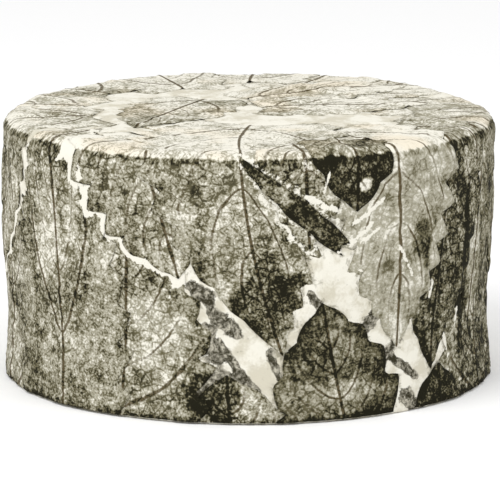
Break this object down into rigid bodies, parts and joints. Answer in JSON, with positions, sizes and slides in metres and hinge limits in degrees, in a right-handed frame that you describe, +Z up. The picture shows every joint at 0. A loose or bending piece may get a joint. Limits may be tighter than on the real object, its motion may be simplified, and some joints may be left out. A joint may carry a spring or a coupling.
{
  "type": "leaf-wrapped cheese wheel",
  "caption": "Whole small wheel of hard cheese wrapped in overlapping nettle leaves that are overgrown with pale mould; stands on its flat base.",
  "frame": {"origin": "middle of the flat base, on the wheel's axis", "axes": "+Z up along the wheel's axis; -Y is the side that faced the camera, +X to its right"},
  "size_m": [0.1318, 0.1312, 0.0715],
  "materials": {
    "mould_rind": "dry, powdery cream-white mould over cheese",
    "nettle_leaf": "dull dark olive leaf dusted with pale grey mould, brown veins"
  },
  "bodies": {
    "root": {"cheese": "mould_rind", "leaf_lower_01": "nettle_leaf", "leaf_lower_02": "nettle_leaf", "leaf_lower_03": "nettle_leaf", "leaf_lower_04": "nettle_leaf", "leaf_lower_05": "nettle_leaf", "leaf_lower_06": "nettle_leaf", "leaf_lower_07": "nettle_leaf", "leaf_lower_08": "nettle_leaf", "leaf_lower_09": "nettle_leaf", "leaf_lower_10": "nettle_leaf", "leaf_lower_11": "nettle_leaf", "leaf_lower_12": "nettle_leaf", "leaf_lower_13": "nettle_leaf", "leaf_lower_14": "nettle_leaf", "leaf_upper_01": "nettle_leaf", "leaf_upper_02": "nettle_leaf", "leaf_upper_03": "nettle_leaf", "leaf_upper_04": "nettle_leaf", "leaf_upper_05": "nettle_leaf", "leaf_upper_06": "nettle_leaf", "leaf_upper_07": "nettle_leaf", "leaf_upper_08": "nettle_leaf", "leaf_upper_09": "nettle_leaf", "leaf_upper_10": "nettle_leaf", "leaf_upper_11": "nettle_leaf", "leaf_upper_12": "nettle_leaf", "leaf_upper_13": "nettle_leaf", "leaf_upper_14": "nettle_leaf", "leaf_upper_15": "nettle_leaf", "leaf_upper_16": "nettle_leaf", "leaf_crossing": "nettle_leaf", "leaf_top_1": "nettle_leaf", "leaf_top_2": "nettle_leaf", "leaf_top_3": "nettle_leaf"}
  },
  "joints": []
}
